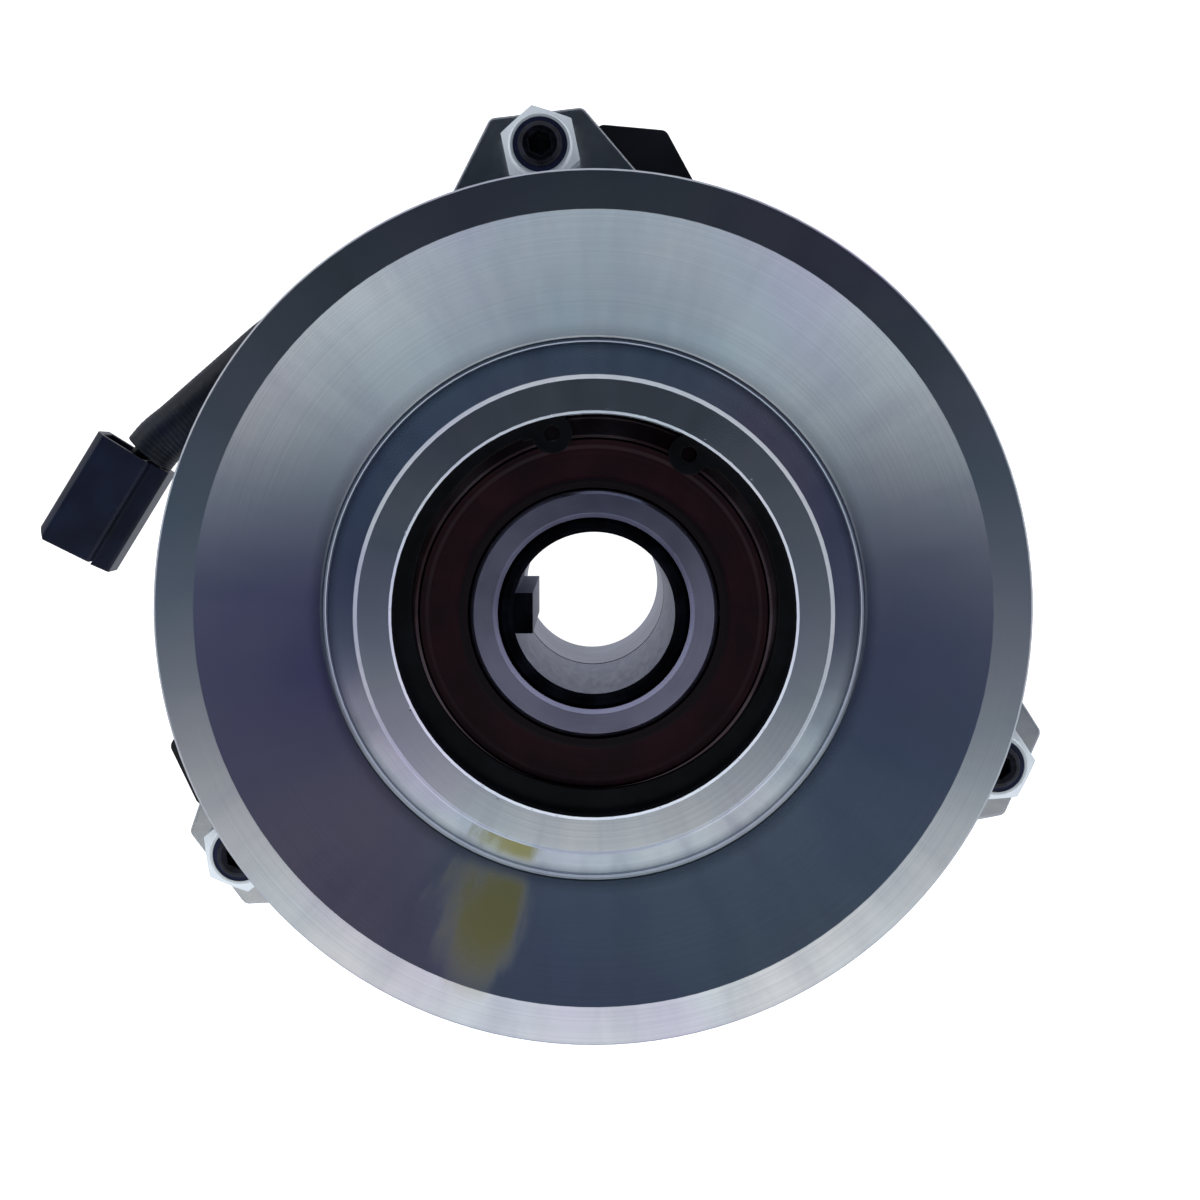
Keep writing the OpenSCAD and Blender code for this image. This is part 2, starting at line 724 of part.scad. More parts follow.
module pulley_bearing_inner_ring() {
    color([0.72, 0.73, 0.76])
        translate([0, 0, pb_z])
            bearing_ring(seat_r, pb_in_r, pb_w, pb_pitch, pb_ball_d);
}

module pulley_bearing_balls() {
    color([0.8, 0.8, 0.82])
        translate([0, 0, pb_z])
            balls(pb_balls, pb_pitch, pb_ball_d, pb_w);
}

module pulley_bearing_cage() {
    color([0.55, 0.5, 0.4])
        translate([0, 0, pb_z])
            cage(pb_balls, pb_pitch, pb_ball_d, pb_w);
}

module pulley_bearing_outer_ring() {
    color([0.72, 0.73, 0.76])
        translate([0, 0, pb_z])
            bearing_ring(pb_out_r, pb_od / 2, pb_w, pb_pitch, pb_ball_d);
}

module pulley_bearing_front_seal() {
    color([0.16, 0.1, 0.11])
        translate([0, 0, pb_top_z - seal_drop - seal_t])
            seal(pb_in_r, pb_out_r);
}

module pulley_bearing_rear_seal() {
    color([0.16, 0.1, 0.11])
        translate([0, 0, pb_z + seal_drop + seal_t])
            mirror([0, 0, 1])
                seal(pb_in_r, pb_out_r);
}

module pulley() {
    r = pulley_d / 2;
    seat = pb_od / 2;
    flat_r = r - rim_w;
    b = rim_bevel;
    slope = tan(groove_angle / 2);
    root_r = r - groove_depth;
    root_half = groove_w / 2 - groove_depth * slope;
    dish_r = boss_root_d / 2;
    color([0.74, 0.76, 0.8])
        difference() {
            rotate_extrude()
                polygon(rounded([
                    [seat, pb_z, 0], [seat, pb_top_z, 0], [seat + snap_groove, pb_top_z, 0],
                    [seat + snap_groove, snap_top_z, 0], [seat, snap_top_z, 0], [seat, boss_z - 0.4, 0],
                    [seat + 0.4, boss_z, 0], [boss_d / 2 - boss_bevel, boss_z, 0],
                    [boss_d / 2, boss_z - boss_bevel, 0], [dish_r, rim_face_z - dish_depth, dish_round],
                    [flat_r, rim_face_z, 0], [r - b, rim_face_z, 0], [r, rim_face_z - b, 0],
                    [r, rim_face_z - cheek_t, 0.4], [root_r, groove_mid_z + root_half, 1],
                    [root_r, groove_mid_z - root_half, 1], [r, rim_back_z + cheek_t, 0.4],
                    [r, rim_back_z + b, 0], [r - b, rim_back_z, 0], [flat_r, rim_back_z, 0],
                    [flange_d / 2, rim_back_z + dish_depth, 1.5], [flange_d / 2, leaf_top_z + 1, 0],
                    [flange_d / 2 - 1, leaf_top_z, 0], [pulley_eye_d / 2, leaf_top_z, 0],
                    [pulley_eye_d / 2, pb_z - shoulder_t, 0], [seat - shoulder_w, pb_z - shoulder_t, 0],
                    [seat - shoulder_w, pb_z, 0]]));
            on_ring(stud_n, rivet_r, 180 / stud_n)
                translate([0, 0, leaf_top_z - cut])
                    cylinder(r = rivet_head_d / 2 + rivet_room, h = rivet_head_t + rivet_room + cut);
            on_ring(stud_n, rivet_r)
                translate([0, 0, leaf_top_z - cut])
                    cylinder(d = rivet_d, h = rivet_depth + cut);
        }
}

module snap_ring() {
    ring_r = pb_od / 2 + snap_groove;
    eccentric = snap_taper / 2;
    inner_r = ring_r - snap_w + eccentric;
    gap = snap_spread / 2 + 2;
    color([0.08, 0.08, 0.09])
        translate([0, 0, pb_top_z])
            rotate([0, 0, snap_turn])
                difference() {
                    union() {
                        difference() {
                            cylinder(r = ring_r, h = snap_t);
                            translate([eccentric, 0, -cut])
                                cylinder(r = inner_r, h = snap_t + 2 * cut);
                            translate([0, 0, -cut])
                                linear_extrude(snap_t + 2 * cut)
                                    polygon([[0, 0], [60 * cos(gap), -60 * sin(gap)], [60, 0],
                                        [60 * cos(gap), 60 * sin(gap)]]);
                        }
                        intersection() {
                            for (side = [-1, 1])
                                rotate([0, 0, side * snap_spread / 2]) {
                                    translate([snap_eye_r, 0, 0])
                                        cylinder(r = snap_lug_r, h = snap_t);
                                    rotate([0, 0, side * 3])
                                        translate([snap_eye_r, -snap_lug_r, 0])
                                            cube([ring_r, 2 * snap_lug_r, snap_t]);
                                }
                            cylinder(r = ring_r, h = snap_t);
                        }
                    }
                    for (side = [-1, 1])
                        rotate([0, 0, side * snap_spread / 2])
                            translate([snap_eye_r, 0, -cut])
                                cylinder(d = snap_eye_d, h = snap_t + 2 * cut);
                }
}

// Straps from each rivet of the pulley to the next rivet of the armature
module leaf_springs() {
    step = 180 / stud_n;
    span = 2 * rivet_r * sin(step / 2);
    color([0.6, 0.61, 0.65])
        for (i = [0 : stud_n - 1])
            rotate([0, 0, i * 2 * step])
                translate([rivet_r, 0, armature_top_z])
                    rotate([0, 0, 90 + step / 2])
                        difference() {
                            union() {
                                cylinder(d = leaf_w, h = leaf_t);
                                translate([span, 0, 0])
                                    cylinder(d = leaf_w, h = leaf_t);
                                translate([0, -leaf_w / 2, 0])
                                    cube([span, leaf_w, leaf_t]);
                            }
                            for (x = [0, span])
                                translate([x, 0, -cut])
                                    cylinder(d = rivet_d, h = leaf_t + 2 * cut);
                        }
}

module pulley_rivets() {
    color([0.65, 0.66, 0.7])
        on_ring(stud_n, rivet_r) {
            translate([0, 0, armature_top_z - rivet_head_t])
                cylinder(d1 = rivet_head_d - 1.2, d2 = rivet_head_d, h = rivet_head_t);
            translate([0, 0, armature_top_z])
                cylinder(d = rivet_d, h = leaf_t + rivet_depth);
        }
}

module armature() {
    r = armature_d / 2;
    b = edge_bevel;
    color([0.55, 0.56, 0.58])
        difference() {
            rotate_extrude()
                polygon([[armature_eye_d / 2, armature_z], [r - b, armature_z], [r, armature_z + b],
                    [r, armature_top_z - b], [r - b, armature_top_z], [armature_eye_d / 2, armature_top_z]]);
            arc_slots(slot_mid_d / 2, armature_z - cut, armature_t + 2 * cut, 0);
            on_ring(stud_n, rivet_r)
                translate([0, 0, armature_z - cut])
                    cylinder(r = rivet_head_d / 2 + rivet_room, h = armature_t + 2 * cut);
            on_ring(stud_n, rivet_r, 180 / stud_n) {
                translate([0, 0, armature_z - cut])
                    cylinder(d = rivet_d, h = armature_t + 2 * cut);
                translate([0, 0, armature_z + rivet_sink])
                    mirror([0, 0, 1])
                        cylinder(d = rivet_head_d, h = 2 * cut);
                translate([0, 0, armature_z + rivet_sink])
                    cylinder(d1 = rivet_head_d, d2 = rivet_d, h = rivet_head_t);
            }
        }
}

module armature_rivets() {
    color([0.65, 0.66, 0.7])
        on_ring(stud_n, rivet_r, 180 / stud_n) {
            translate([0, 0, armature_z + rivet_sink])
                cylinder(d1 = rivet_head_d, d2 = rivet_d, h = rivet_head_t);
            translate([0, 0, armature_z + rivet_sink + rivet_head_t])
                cylinder(d = rivet_d, h = armature_t - rivet_sink - rivet_head_t + leaf_t);
            translate([0, 0, leaf_top_z])
                cylinder(d1 = rivet_head_d, d2 = rivet_head_d - 1.2, h = rivet_head_t);
        }
}

module brake_plate() {
    inner = drum_in_r;
    foot = drum_r + drum_flange;
    color([0.78, 0.79, 0.8])
        difference() {
            union() {
                rotate_extrude()
                    polygon(rounded([
                        [drum_eye_d / 2, drum_under_z, 0], [inner, drum_under_z, drum_round - brake_t],
                        [inner, brake_ear_z, foot_round + brake_t / 2], [foot, brake_ear_z, 0], [foot, nut_z, 0],
                        [drum_r, nut_z, foot_round], [drum_r, drum_top_z, drum_round], [drum_eye_d / 2, drum_top_z, 0]]));
                at_studs()
                    translate([0, 0, brake_ear_z])
                        linear_extrude(brake_t)
                            ear_outline(drum_r + brake_t / 2, ear_reach, ear_tip_w);
            }
            at_studs() {
                translate([stud_r, 0, brake_ear_z - cut])
                    cylinder(d = stud_d + 0.6, h = brake_t + 2 * cut);
                rotate([0, 0, 180 / stud_n])
                    translate([inner - brake_t, -window_w / 2, rotor_face_z - window_h / 2])
                        cube([3 * brake_t, window_w, window_h]);
            }
        }
}

module brake_lining() {
    r_out = armature_d / 2 - lining_inset;
    color([0.25, 0.22, 0.2])
        at_studs()
            rotate([0, 0, -lining_sweep / 2])
                translate([0, 0, lining_z])
                    rotate_extrude(angle = lining_sweep)
                        translate([r_out - lining_w, 0])
                            square([lining_w, lining_t]);
}

module brake_studs() {
    color([0.1, 0.1, 0.12])
        at_studs()
            translate([stud_r, 0, 0])
                difference() {
                    rotate_extrude()
                        polygon([[0, ear_rise - stud_head_t], [stud_head_d / 2 - 0.8, ear_rise - stud_head_t],
                            [stud_head_d / 2, ear_rise - stud_head_t + 0.8], [stud_head_d / 2, ear_rise],
                            [stud_d / 2, ear_rise], [stud_d / 2, stud_top_z - 0.9],
                            [stud_d / 2 - 0.3, stud_top_z - 0.3], [stud_d / 2 - 0.9, stud_top_z], [0, stud_top_z]]);
                    translate([0, 0, stud_top_z - socket_depth])
                        cylinder(d = socket_af / cos(30), h = socket_depth + cut, $fn = 6);
                }
}

// Closed, ground ends and open turns between them
module brake_springs() {
    turns = 3.5;
    steps = 16;
    rise = spring_h - wire_d;
    end_pitch = wire_d + 0.05;
    mid_pitch = (rise - 2 * end_pitch) / (turns - 2);
    coil_r = (spring_d - wire_d) / 2;
    function climb(t) = t < 1 ? end_pitch * t
        : t < turns - 1 ? end_pitch + mid_pitch * (t - 1)
        : rise - end_pitch * (turns - t);
    path = [for (i = [0 : turns * steps])
        let (t = i / steps)
        [coil_r * cos(360 * t), coil_r * sin(360 * t), climb(t) + wire_d / 2]];
    color([0.7, 0.71, 0.74])
        at_studs()
            translate([stud_r, 0, ear_z])
                tube(path, wire_d / 2, 6);
}

module lock_nuts() {
    corner_r = nut_af / 2 / cos(30);
    color([0.8, 0.81, 0.83])
        for (i = [0 : stud_n - 1])
            rotate([0, 0, stud_turn - i * 360 / stud_n])
                translate([stud_r, 0, nut_z])
                    rotate([0, 0, nut_turns[i] - stud_turn + i * 360 / stud_n])
                        difference() {
                            union() {
                                intersection() {
                                    cylinder(r = corner_r, h = nut_h, $fn = 6);
                                    rotate_extrude()
                                        polygon([[0, 0], [corner_r - 0.5, 0], [corner_r + 0.1, 0.5],
                                            [corner_r + 0.1, nut_h - 0.9], [collar_d / 2, nut_h], [0, nut_h]]);
                                }
                                translate([0, 0, nut_h])
                                    cylinder(d1 = collar_d, d2 = collar_d - 0.8, h = collar_h);
                            }
                            translate([0, 0, -cut])
                                cylinder(d = stud_d, h = nut_h + collar_h + 2 * cut);
                            translate([0, 0, nut_h])
                                cylinder(r = stud_d / 2 + insert_w, h = collar_h + cut);
                        }
}

module nut_inserts() {
    color([0.08, 0.1, 0.18])
        at_studs()
            translate([stud_r, 0, collar_z])
                difference() {
                    cylinder(r = stud_d / 2 + insert_w, h = collar_h - 0.4);
                    translate([0, 0, -cut])
                        cylinder(d = stud_d, h = collar_h + 2 * cut);
                }
}

// Moulded strain relief: a root through the wall of the shell and a nozzle along the lead
module lead_grommet() {
    nozzle_r = lead_d / 2 + relief_wall;
    color([0.07, 0.07, 0.08]) {
        rotate([0, 0, relief_az])
            translate([shell_in_r, -relief_w / 2, shell_floor_z])
                cube([shell_wall, relief_w, relief_h]);
        difference() {
            union() {
                rotate([0, 0, relief_az])
                    translate([shell_in_r + cut, -relief_w / 2, shell_floor_z])
                        cube([shell_wall + nozzle_r, relief_w, relief_h]);
                translate(lead_path[0])
                    rotate([0, 0, relief_turn])
                        rotate([0, -90, 0])
                            cylinder(r = nozzle_r, h = relief_len);
            }
            translate([0, 0, -cut])
                cylinder(d = shell_d, h = shell_top_z);
        }
    }
}

module lead_sleeve() {
    color([0.08, 0.08, 0.09])
        tube(lead_path, lead_d / 2, 12);
}

module lead_wires() {
    color([0.05, 0.05, 0.06])
        for (side = [-1, 1])
            tube(wire_path, wire_od / 2, 8, side * wire_gap / 2);
}

// The connector's section, inset by a wall, with its low side towards +X
module plug_section(inset) {
    half = plug_w / 2 - inset;
    low = plug_side_h - inset;
    high = plug_h - inset;
    step = plug_w / 2 - plug_side_w - inset;
    polygon(rounded([[-half, inset, 0.5], [half, inset, 0.5], [half, low, 0.5], [step, low, 0],
        [step, high, 0.5], [-half, high, plug_round - inset * 0.7]]));
}

module in_plug_frame() {
    translate([plug_pos.x, plug_pos.y, 0])
        rotate([0, 0, plug_turn])
            children();
}

// Drawn along +X with its mating end ahead: a hollow at the back, two terminal ways in front
module connector_housing() {
    half = plug_len / 2;
    side = plug_w / 2;
    low_y = side - plug_side_w;
    room = 0.2;
    color([0.09, 0.09, 0.1])
        in_plug_frame()
            difference() {
                translate([-half, 0, 0])
                    rotate([90, 0, 90])
                        linear_extrude(plug_len)
                            plug_section(0);
                translate([-half - cut, 0, 0])
                    rotate([90, 0, 90])
                        linear_extrude(plug_hollow + cut)
                            plug_section(plug_wall);
                translate([0, 0, -cut])
                    linear_extrude(plug_h + 2 * cut)
                        polygon([[half - 2 * plug_corner, -side - plug_corner], [half, plug_corner - side],
                            [half - plug_skew, low_y], [half - plug_skew / 4, low_y],
                            [half - plug_skew, side + cut], [half + cut, side + cut],
                            [half + cut, -side - plug_corner]]);
                for (way = [-1, 1])
                    translate([half - pin_len - room, way * pin_pitch / 2 - pin_w / 2 - room, pin_z - room])
                        cube([pin_len + room + cut, pin_w + 2 * room, pin_t + 2 * room]);
            }
}

module connector_terminals() {
    slit = 0.6;
    color([0.75, 0.6, 0.25])
        in_plug_frame()
            for (side = [-1, 1])
                translate([plug_len / 2 - pin_len - 0.2, side * pin_pitch / 2 - pin_w / 2, pin_z - 0.2])
                    difference() {
                        cube([pin_len - 0.8, pin_w, pin_t]);
                        translate([slit, slit, slit])
                            cube([pin_len, pin_w - 2 * slit, pin_t - 2 * slit]);
                    }
}

mounting_plate();
field_shell();
coil_former();
coil_winding();
coil_resin();
field_bearing_outer_ring();
field_bearing_seals();
field_bearing_inner_ring();
field_bearing_balls();
field_bearing_cage();
rotor_hub();
hub_retaining_ring();
rotor_disc();
keyed_sleeve();
pulley_bearing_inner_ring();
pulley_bearing_balls();
pulley_bearing_cage();
pulley_bearing_outer_ring();
pulley_bearing_front_seal();
pulley_bearing_rear_seal();
pulley();
snap_ring();
leaf_springs();
pulley_rivets();
armature();
armature_rivets();
brake_plate();
brake_lining();
brake_studs();
brake_springs();
lock_nuts();
nut_inserts();
lead_grommet();
lead_sleeve();
lead_wires();
connector_housing();
connector_terminals();
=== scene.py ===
from math import cos, pi, radians, sin

import bpy
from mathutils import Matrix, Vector


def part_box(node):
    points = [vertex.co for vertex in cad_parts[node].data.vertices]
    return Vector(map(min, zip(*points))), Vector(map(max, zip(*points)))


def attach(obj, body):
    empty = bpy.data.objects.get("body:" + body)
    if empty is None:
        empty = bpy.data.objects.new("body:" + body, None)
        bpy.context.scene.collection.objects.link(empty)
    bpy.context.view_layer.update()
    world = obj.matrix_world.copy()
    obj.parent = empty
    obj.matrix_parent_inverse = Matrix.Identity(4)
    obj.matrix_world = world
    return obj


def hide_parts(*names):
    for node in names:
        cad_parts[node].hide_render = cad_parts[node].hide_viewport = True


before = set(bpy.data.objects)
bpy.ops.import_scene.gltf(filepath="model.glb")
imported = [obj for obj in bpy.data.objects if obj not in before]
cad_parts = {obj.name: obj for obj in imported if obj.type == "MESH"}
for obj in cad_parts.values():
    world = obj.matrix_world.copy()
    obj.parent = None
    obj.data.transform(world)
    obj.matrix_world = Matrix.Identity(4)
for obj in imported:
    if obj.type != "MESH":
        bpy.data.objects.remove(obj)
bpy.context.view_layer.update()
mm = 0.001


# Camera. The photograph looks down on the pulley from 0.3 m in front of it, from a little above the
# bore and tilted back by some four degrees, so that the far end of the bore lies higher than its mouth.
camera = bpy.data.objects.new("camera", bpy.data.cameras.new("camera"))
bpy.context.scene.collection.objects.link(camera)
camera.data.sensor_width = 36
camera.data.lens = 59.01
camera.data.clip_start = 0.01
camera.location = (-1.3 * mm, 24.2 * mm, 384.3 * mm)
camera.rotation_euler = (radians(-4.13), radians(-0.42), 0)
bpy.context.scene.camera = camera
bpy.context.scene.view_settings.view_transform = "Standard"


# Lead. A sleeve of woven fibre with fine cross ribs covers two insulated wires. It leaves the field's
# strain relief behind the pulley, runs down to the floor and ends open, just short of the connector.
class Value:
    """One number in a shader. Python's operators on it add Math nodes."""

    def __init__(self, finish, socket):
        self.finish = finish
        self.socket = socket

    def maths(self, operation, *others):
        return self.finish.maths(operation, self, *others)

    def __add__(self, other):
        return self.maths("ADD", other)

    def __radd__(self, other):
        return self.finish.maths("ADD", other, self)

    def __sub__(self, other):
        return self.maths("SUBTRACT", other)

    def __rsub__(self, other):
        return self.finish.maths("SUBTRACT", other, self)

    def __mul__(self, other):
        return self.maths("MULTIPLY", other)

    def __rmul__(self, other):
        return self.finish.maths("MULTIPLY", other, self)

    def __truediv__(self, other):
        return self.maths("DIVIDE", other)

    def __pow__(self, other):
        return self.maths("POWER", other)

    def span(self, low, high, to_low=0.0, to_high=1.0):
        """Goes smoothly from to_low to to_high as this value goes from low to high."""
        sockets = {"Value": self, "From Min": low, "From Max": high, "To Min": to_low, "To Max": to_high}
        return self.finish.node("MapRange", sockets, interpolation_type="SMOOTHSTEP")

    def band(self, middle, half, soft):
        """1 within half of middle, and 0 from soft beyond that."""
        return (self - middle).maths("ABSOLUTE").span(half, half + soft, 1.0, 0.0)


class Finish:
    """A procedural look: a material by name, or the world's."""

    def __init__(self, name, **sockets):
        self.owner = bpy.data.materials.new(name)
        self.owner.use_nodes = True
        self.tree = self.owner.node_tree
        self.shader = self.tree.nodes["Principled BSDF"]
        self.give(self.shader, {key.replace("_", " "): value for key, value in sockets.items()})

    def give(self, node, sockets):
        for name, value in sockets.items():
            if isinstance(value, Value):
                self.tree.links.new(value.socket, node.inputs[name])
            else:
                node.inputs[name].default_value = value

    def node(self, kind, sockets, output=0, **settings):
        node = self.tree.nodes.new("ShaderNode" + kind)
        for name, value in settings.items():
            setattr(node, name, value)
        self.give(node, sockets)
        return Value(self, node.outputs[output])

    def maths(self, operation, *terms):
        return self.node("Math", dict(enumerate(terms)), operation=operation)

    def place(self):
        return self.node("TexCoord", {}, output="Object")

    def parts(self, vector):
        return (self.node("SeparateXYZ", {0: vector}, output=axis) for axis in "XYZ")

    def round_place(self):
        """Distance from the bore's axis in mm, angle round it in radians, and height in mm."""
        x, y, z = self.parts(self.place())
        across = (x * x + y * y) ** 0.5
        return across / mm, y.maths("ARCTAN2", x), z / mm

    def vector(self, x, y, z):
        return self.node("CombineXYZ", {"X": x, "Y": y, "Z": z})

    def noise(self, vector, scale, detail=2.0, roughness=0.5):
        sockets = {"Vector": vector, "Scale": scale, "Detail": detail, "Roughness": roughness}
        return self.node("TexNoise", sockets)

    def mix(self, factor, start, end):
        return self.node("Mix", {0: factor, 6: start, 7: end}, output=2, data_type="RGBA")

    def bump(self, height, depth, edge=0.0, trued=False):
        """Relief of that depth in metres, on edges rounded to that radius. On a trued surface, which
        is turned round the axis, the facets of the mesh don't show."""
        sockets = {"Height": height, "Distance": depth, "Strength": 1.0}
        if edge:
            sockets["Normal"] = self.node("Bevel", {"Radius": edge}, samples=4)
        if trued:
            sockets["Normal"] = self.true_up(sockets["Normal"])
        self.give(self.shader, {"Normal": self.node("Bump", sockets)})

    def true_up(self, normal):
        """Takes a facet's small lean round the axis out of a normal."""
        x, y, _ = self.parts(self.place())
        round_axis = self.node("VectorMath", {0: self.vector(y * -1, x, 0.0)}, operation="NORMALIZE")
        own = self.node("VectorTransform", {"Vector": normal}, vector_type="NORMAL",
                        convert_from="WORLD", convert_to="OBJECT")
        lean = self.node("VectorMath", {0: own, 1: round_axis}, output="Value", operation="DOT_PRODUCT")
        small = lean.maths("ABSOLUTE").span(0.1, 0.14, 1.0, 0.0)
        taken = self.node("VectorMath", {0: round_axis, "Scale": lean * small}, operation="SCALE")
        trued = self.node("VectorMath", {0: own, 1: taken}, operation="SUBTRACT")
        return self.node("VectorTransform", {"Vector": trued}, vector_type="NORMAL",
                         convert_from="OBJECT", convert_to="WORLD")


def tone(red, green, blue):
    """A colour as it shows on a screen, 0 to 255, turned into the linear one that shaders take."""
    shares = [part / 255 for part in (red, green, blue)]
    linear = [share / 12.92 if share <= 0.04045 else ((share + 0.055) / 1.055) ** 2.4
              for share in shares]
    return (*linear, 1.0)


def fitted(name, shape, finish):
    """Links a new mesh piece with its finish. Its shape is given as points and faces."""
    points, faces = shape
    mesh = bpy.data.meshes.new(name)
    mesh.from_pydata(points, [], faces)
    mesh.update()
    mesh.polygons.foreach_set("use_smooth", [True] * len(mesh.polygons))
    mesh.materials.append(finish.owner)
    piece = bpy.data.objects.new(name, mesh)
    bpy.context.scene.collection.objects.link(piece)
    return piece


def smooth_route(points, step):
    """A Catmull-Rom line through the points, with a point about every step."""
    points = [Vector(point) for point in points]
    ends = [2 * points[0] - points[1], *points, 2 * points[-1] - points[-2]]
    route = []
    for a, b, c, d in zip(ends, ends[1:], ends[2:], ends[3:]):
        count = max(1, round((c - b).length / step))
        for i in range(count):
            t = i / count
            route.append(0.5 * (2 * b + (c - a) * t + (2 * a - 5 * b + 4 * c - d) * t ** 2
                                + (3 * b - a - 3 * c + d) * t ** 3))
    return route + [points[-1]]


def swept(route, radius_at, sides):
    """Points and faces of a tube along a route, with closed ends. radius_at takes the distance
    along it."""
    points, faces, along = [], [], 0.0
    for i, here in enumerate(route):
        ahead = route[min(i + 1, len(route) - 1)] - route[max(i - 1, 0)]
        across = Vector((0, 0, 1)).cross(ahead).normalized()
        over = ahead.cross(across).normalized()
        along += (here - route[i - 1]).length if i else 0.0
        for j in range(sides):
            turn = 2 * pi * j / sides
            points.append(here + radius_at(along) * (cos(turn) * across + sin(turn) * over))
    for i in range(len(route) - 1):
        for j in range(sides):
            k = (j + 1) % sides
            faces.append((i * sides + j, (i + 1) * sides + j, (i + 1) * sides + k, i * sides + k))
    last = (len(route) - 1) * sides
    faces.append(tuple(range(sides)))
    faces.append(tuple(last + j for j in reversed(range(sides))))
    return points, faces


def length_of(route):
    return sum((b - a).length for a, b in zip(route, route[1:]))


def dress(finish, *nodes):
    """Gives CAD nodes this finish."""
    for node in nodes:
        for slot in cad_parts[node].material_slots:
            slot.material = finish.owner


lead_d = 10 * mm
rib_pitch = 0.9 * mm
rib_height = 0.05 * mm
# The points of the lead's and the wires' routes are in mm from the exit.
exit_r = 67.1
exit_turn = radians(117.5)
lead_start = Vector((exit_r * cos(exit_turn), exit_r * sin(exit_turn), 0))
lead_points = [[0, 0, 9], [-5.5, -1.9, 9], [-11, -3.7, 8.4], [-17, -6.1, 7.4], [-23.5, -9.2, 6.3],
               [-30, -13.5, 5.4], [-36, -18.6, 5.1], [-42, -23.8, 5.1], [-48, -29, 5.1],
               [-51.6, -31.9, 5.1], [-54, -34.6, 5.1]]
lead_route = smooth_route([(lead_start + Vector(point)) * mm for point in lead_points], rib_pitch / 4)

woven = Finish("woven_sleeve", Specular_IOR_Level=0.4)
fibre = woven.noise(woven.place(), 900.0, 3.0)
patches = woven.noise(woven.place(), 90.0)
woven.give(woven.shader, {
    "Base Color": woven.mix(patches.span(0.35, 0.7), tone(6, 10, 20), tone(13, 19, 34)),
    "Roughness": fibre.span(0.2, 0.8, 0.36, 0.52)})
woven.bump(fibre, 0.00008)


def ribbed(along):
    return lead_d / 2 - rib_height * (0.5 - 0.5 * cos(2 * pi * along / rib_pitch))


lead = fitted("lead_sleeve_ribbed", swept(lead_route, ribbed, 40), woven)
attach(lead, "field")
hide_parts("lead_sleeve")

# Two wires bridge the last stretch from the sleeve into the back of the connector, bare of the sleeve.
wire_r = 1.3 * mm
wire_gap = 3.4 * mm
wire_points = [[-54, -34.6, 5.1], [-55.04, -35.77, 5.1], [-55.9, -37.3, 4.8], [-56.9, -39.1, 4.6],
               [-57.6, -40.3, 4.6]]
insulation = Finish("wire_insulation")
smudge = insulation.noise(insulation.place(), 250.0)
insulation.give(insulation.shader, {
    "Base Color": insulation.mix(smudge, tone(12, 12, 15), tone(30, 31, 38)),
    "Roughness": smudge.span(0.3, 0.7, 0.28, 0.45)})
insulation.bump(smudge, 0.00005)
for name, side in (("lead_wire_left", -1), ("lead_wire_right", 1)):
    middle = smooth_route([(lead_start + Vector(point)) * mm for point in wire_points], 0.5 * mm)
    beside = []
    for i, here in enumerate(middle):
        ahead = middle[min(i + 1, len(middle) - 1)] - middle[max(i - 1, 0)]
        beside.append(here + side * wire_gap / 2 * Vector((0, 0, 1)).cross(ahead).normalized())
    wire = fitted(name, swept(beside, lambda along: wire_r, 20), insulation)
    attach(wire, "field")
    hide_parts("lead_wires")

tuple(lead_route[0])
length_of(lead_route)

# Connector. A moulded two-way housing of black nylon, with a rounded long edge, a lower part along one
# side and a hollow at the back for the wires. It has the fine sheen and the flow marks of a moulding.
nylon = Finish("moulded_nylon")
flow = nylon.noise(nylon.place(), 160.0, 4.0)
grain = nylon.noise(nylon.place(), 2600.0)
nylon.give(nylon.shader, {
    "Base Color": nylon.mix(flow.span(0.3, 0.75), tone(12, 16, 34), tone(20, 27, 50)),
    "Roughness": grain * 0.16 + 0.24})
nylon.bump(grain, 0.000012, 0.5 * mm)
dress(nylon, "connector_housing")

tinned = Finish("tinned_brass", Metallic=1.0)
tarnish = tinned.noise(tinned.place(), 700.0)
tinned.give(tinned.shader, {
    "Base Color": tinned.mix(tarnish, tone(196, 182, 140), tone(150, 132, 92)),
    "Roughness": tarnish * 0.3 + 0.2})
tinned.bump(tarnish, 0.00001)
dress(tinned, "connector_terminals")

# Strain relief. Black rubber, moulded through the wall of the field shell.
rubber = Finish("black_rubber", Specular_IOR_Level=0.4)
pores = rubber.noise(rubber.place(), 1500.0, 3.0)
dusty = rubber.noise(rubber.place(), 120.0)
rubber.give(rubber.shader, {
    "Base Color": rubber.mix(dusty.span(0.4, 0.8), tone(14, 14, 16), tone(40, 40, 44)),
    "Roughness": pores * 0.25 + 0.5})
rubber.bump(pores, 0.00002, 0.3 * mm)
dress(rubber, "lead_grommet", "field_bearing_seals")

# Mounting plate and field shell. Pressed steel under black paint, with the fine ripple of a sprayed
# coat, small dust grains in it, and edges that the press left slightly round.
paint = Finish("black_paint")
ripple = paint.noise(paint.place(), 420.0, 2.0)
cloud = paint.noise(paint.place(), 60.0, 4.0)
dust = paint.noise(paint.place(), 3200.0, 1.0).span(0.72, 0.8)
coat = paint.mix(cloud.span(0.35, 0.75), tone(10, 10, 13), tone(24, 25, 32))
paint.give(paint.shader, {
    "Base Color": paint.mix(dust * 0.5, coat, tone(120, 120, 126)),
    "Roughness": cloud * 0.2 + 0.22 + dust * 0.3})
paint.bump(ripple + dust * 0.4, 0.00003, 0.4 * mm)
dress(paint, "mounting_plate", "field_shell")

